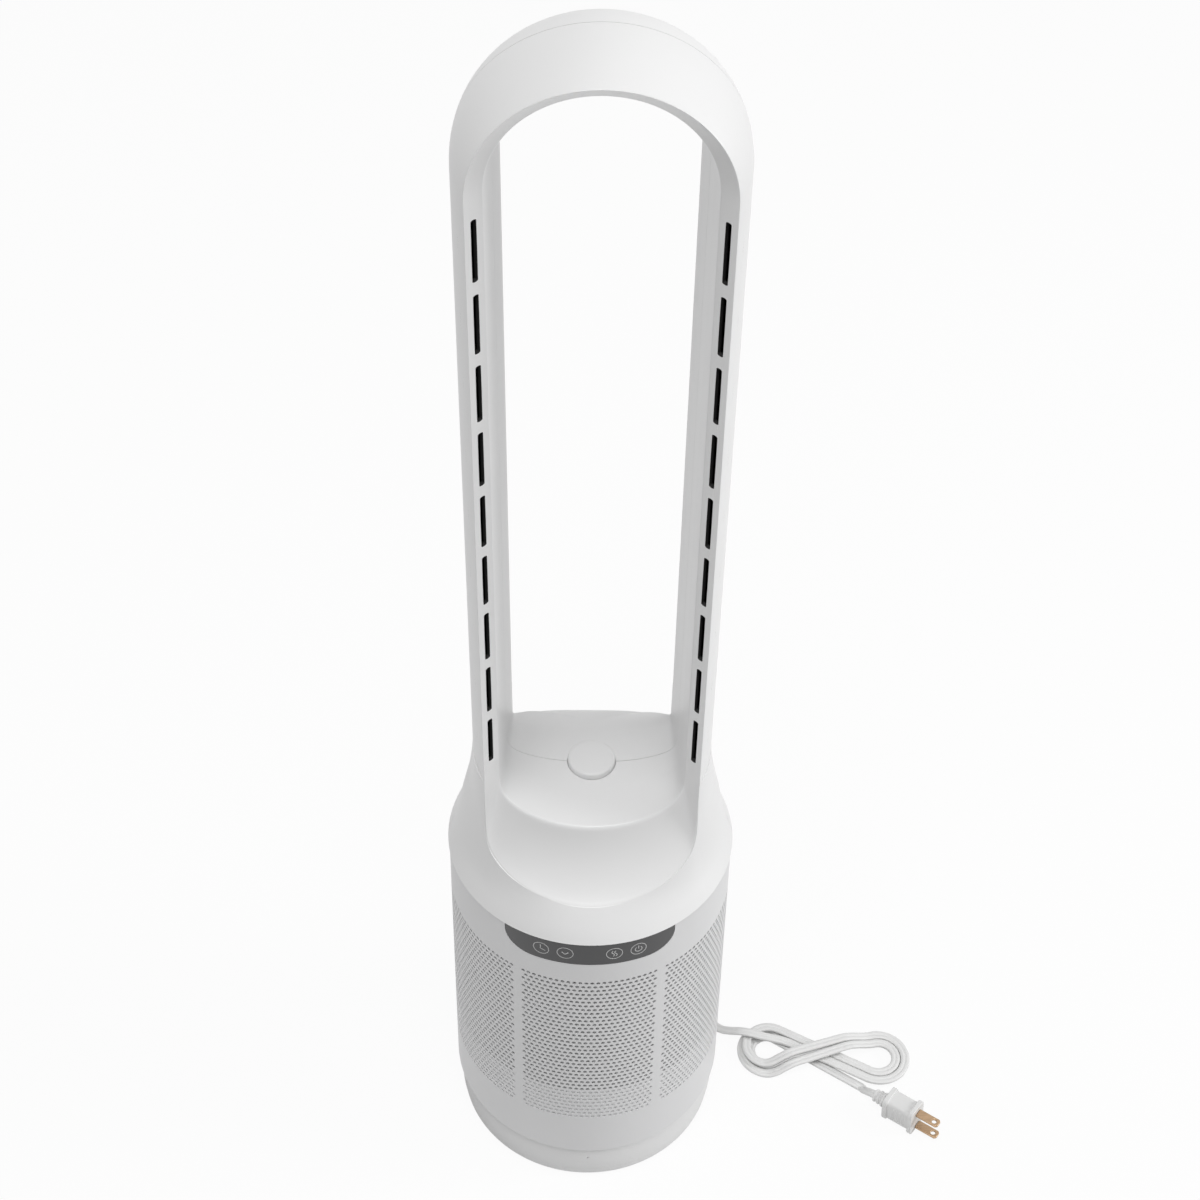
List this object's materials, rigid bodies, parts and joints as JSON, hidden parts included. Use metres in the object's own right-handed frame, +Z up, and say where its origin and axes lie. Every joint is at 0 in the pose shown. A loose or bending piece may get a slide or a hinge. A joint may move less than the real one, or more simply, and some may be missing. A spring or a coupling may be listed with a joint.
{
  "type": "bladeless tower fan",
  "caption": "Tall bladeless fan: hollow air loop with outlet slots on a round perforated base that swings on a low foot, with a hanked mains cord and plug.",
  "frame": {"origin": "on the floor under the centre of the round foot", "axes": "+Z up, -Y out of the front face with the control panel, +X to the right seen from the front"},
  "size_m": [0.3234, 0.2153, 0.7897],
  "materials": {
    "white_plastic": "satin white moulding",
    "sleeve_plastic": "satin white perforated moulding",
    "panel_gloss": "gloss dark grey window with pale icons",
    "inner_plastic": "plain grey moulding",
    "steel": "plain",
    "brass": "nickel-washed brass",
    "rubber": "matt",
    "circuit_board": "green solder mask",
    "dark_plastic": "plain",
    "foam": "foam gasket",
    "cord_vinyl": "soft white vinyl"
  },
  "bodies": {
    "base": {"base_pan": "white_plastic", "foot_pad_1": "rubber", "foot_pad_2": "rubber", "foot_pad_3": "rubber", "foot_pad_4": "rubber", "ballast_plate": "steel", "base_deck": "inner_plastic", "base_screw_1": "steel", "base_screw_2": "steel", "base_screw_3": "steel", "spindle": "inner_plastic", "thrust_ring": "inner_plastic", "retaining_ring": "steel", "sector_gear": "inner_plastic", "cord_gland": "cord_vinyl", "cord_lead": "cord_vinyl", "cord_hank": "cord_vinyl", "cord_tail": "cord_vinyl", "plug_body": "cord_vinyl", "plug_blade_1": "brass", "plug_blade_2": "brass"},
    "tower": {"oscillation_motor": "steel", "turntable": "inner_plastic", "chassis": "inner_plastic", "grille_sleeve": "sleeve_plastic", "control_panel": "panel_gloss", "touch_board": "circuit_board", "main_board": "circuit_board", "power_board": "circuit_board", "capacitor": "dark_plastic", "terminal_block": "inner_plastic", "blower_housing": "inner_plastic", "diffuser": "inner_plastic", "motor": "steel", "motor_mount": "rubber", "neck_plate": "inner_plastic", "duct_gasket": "foam", "front_shell": "white_plastic", "rear_shell": "white_plastic", "seam_cap": "white_plastic", "shell_screw_1": "steel", "shell_screw_2": "steel", "shell_screw_3": "steel", "shell_screw_4": "steel"},
    "drive_pinion": {"pinion": "inner_plastic"},
    "wheel": {"impeller": "inner_plastic", "impeller_shaft": "steel"}
  },
  "joints": [
    {"name": "oscillation", "type": "hinge", "parent": "base", "child": "tower", "pos_m": [0, 0, 0.04], "axis": [0, 0, 1], "range_deg": [-40, 40]},
    {"name": "pinion_spin", "type": "hinge", "parent": "tower", "child": "drive_pinion", "pos_m": [0, 0.04125, 0.035], "axis": [0, 0, 1], "range_deg": [-165, 165]},
    {"name": "impeller_spin", "type": "hinge", "parent": "tower", "child": "wheel", "pos_m": [0, 0, 0.15], "axis": [0, 0, 1], "continuous": true}
  ],
  "couplings": [
    {"joint": "pinion_spin", "follows": "oscillation", "ratio": 4}
  ]
}
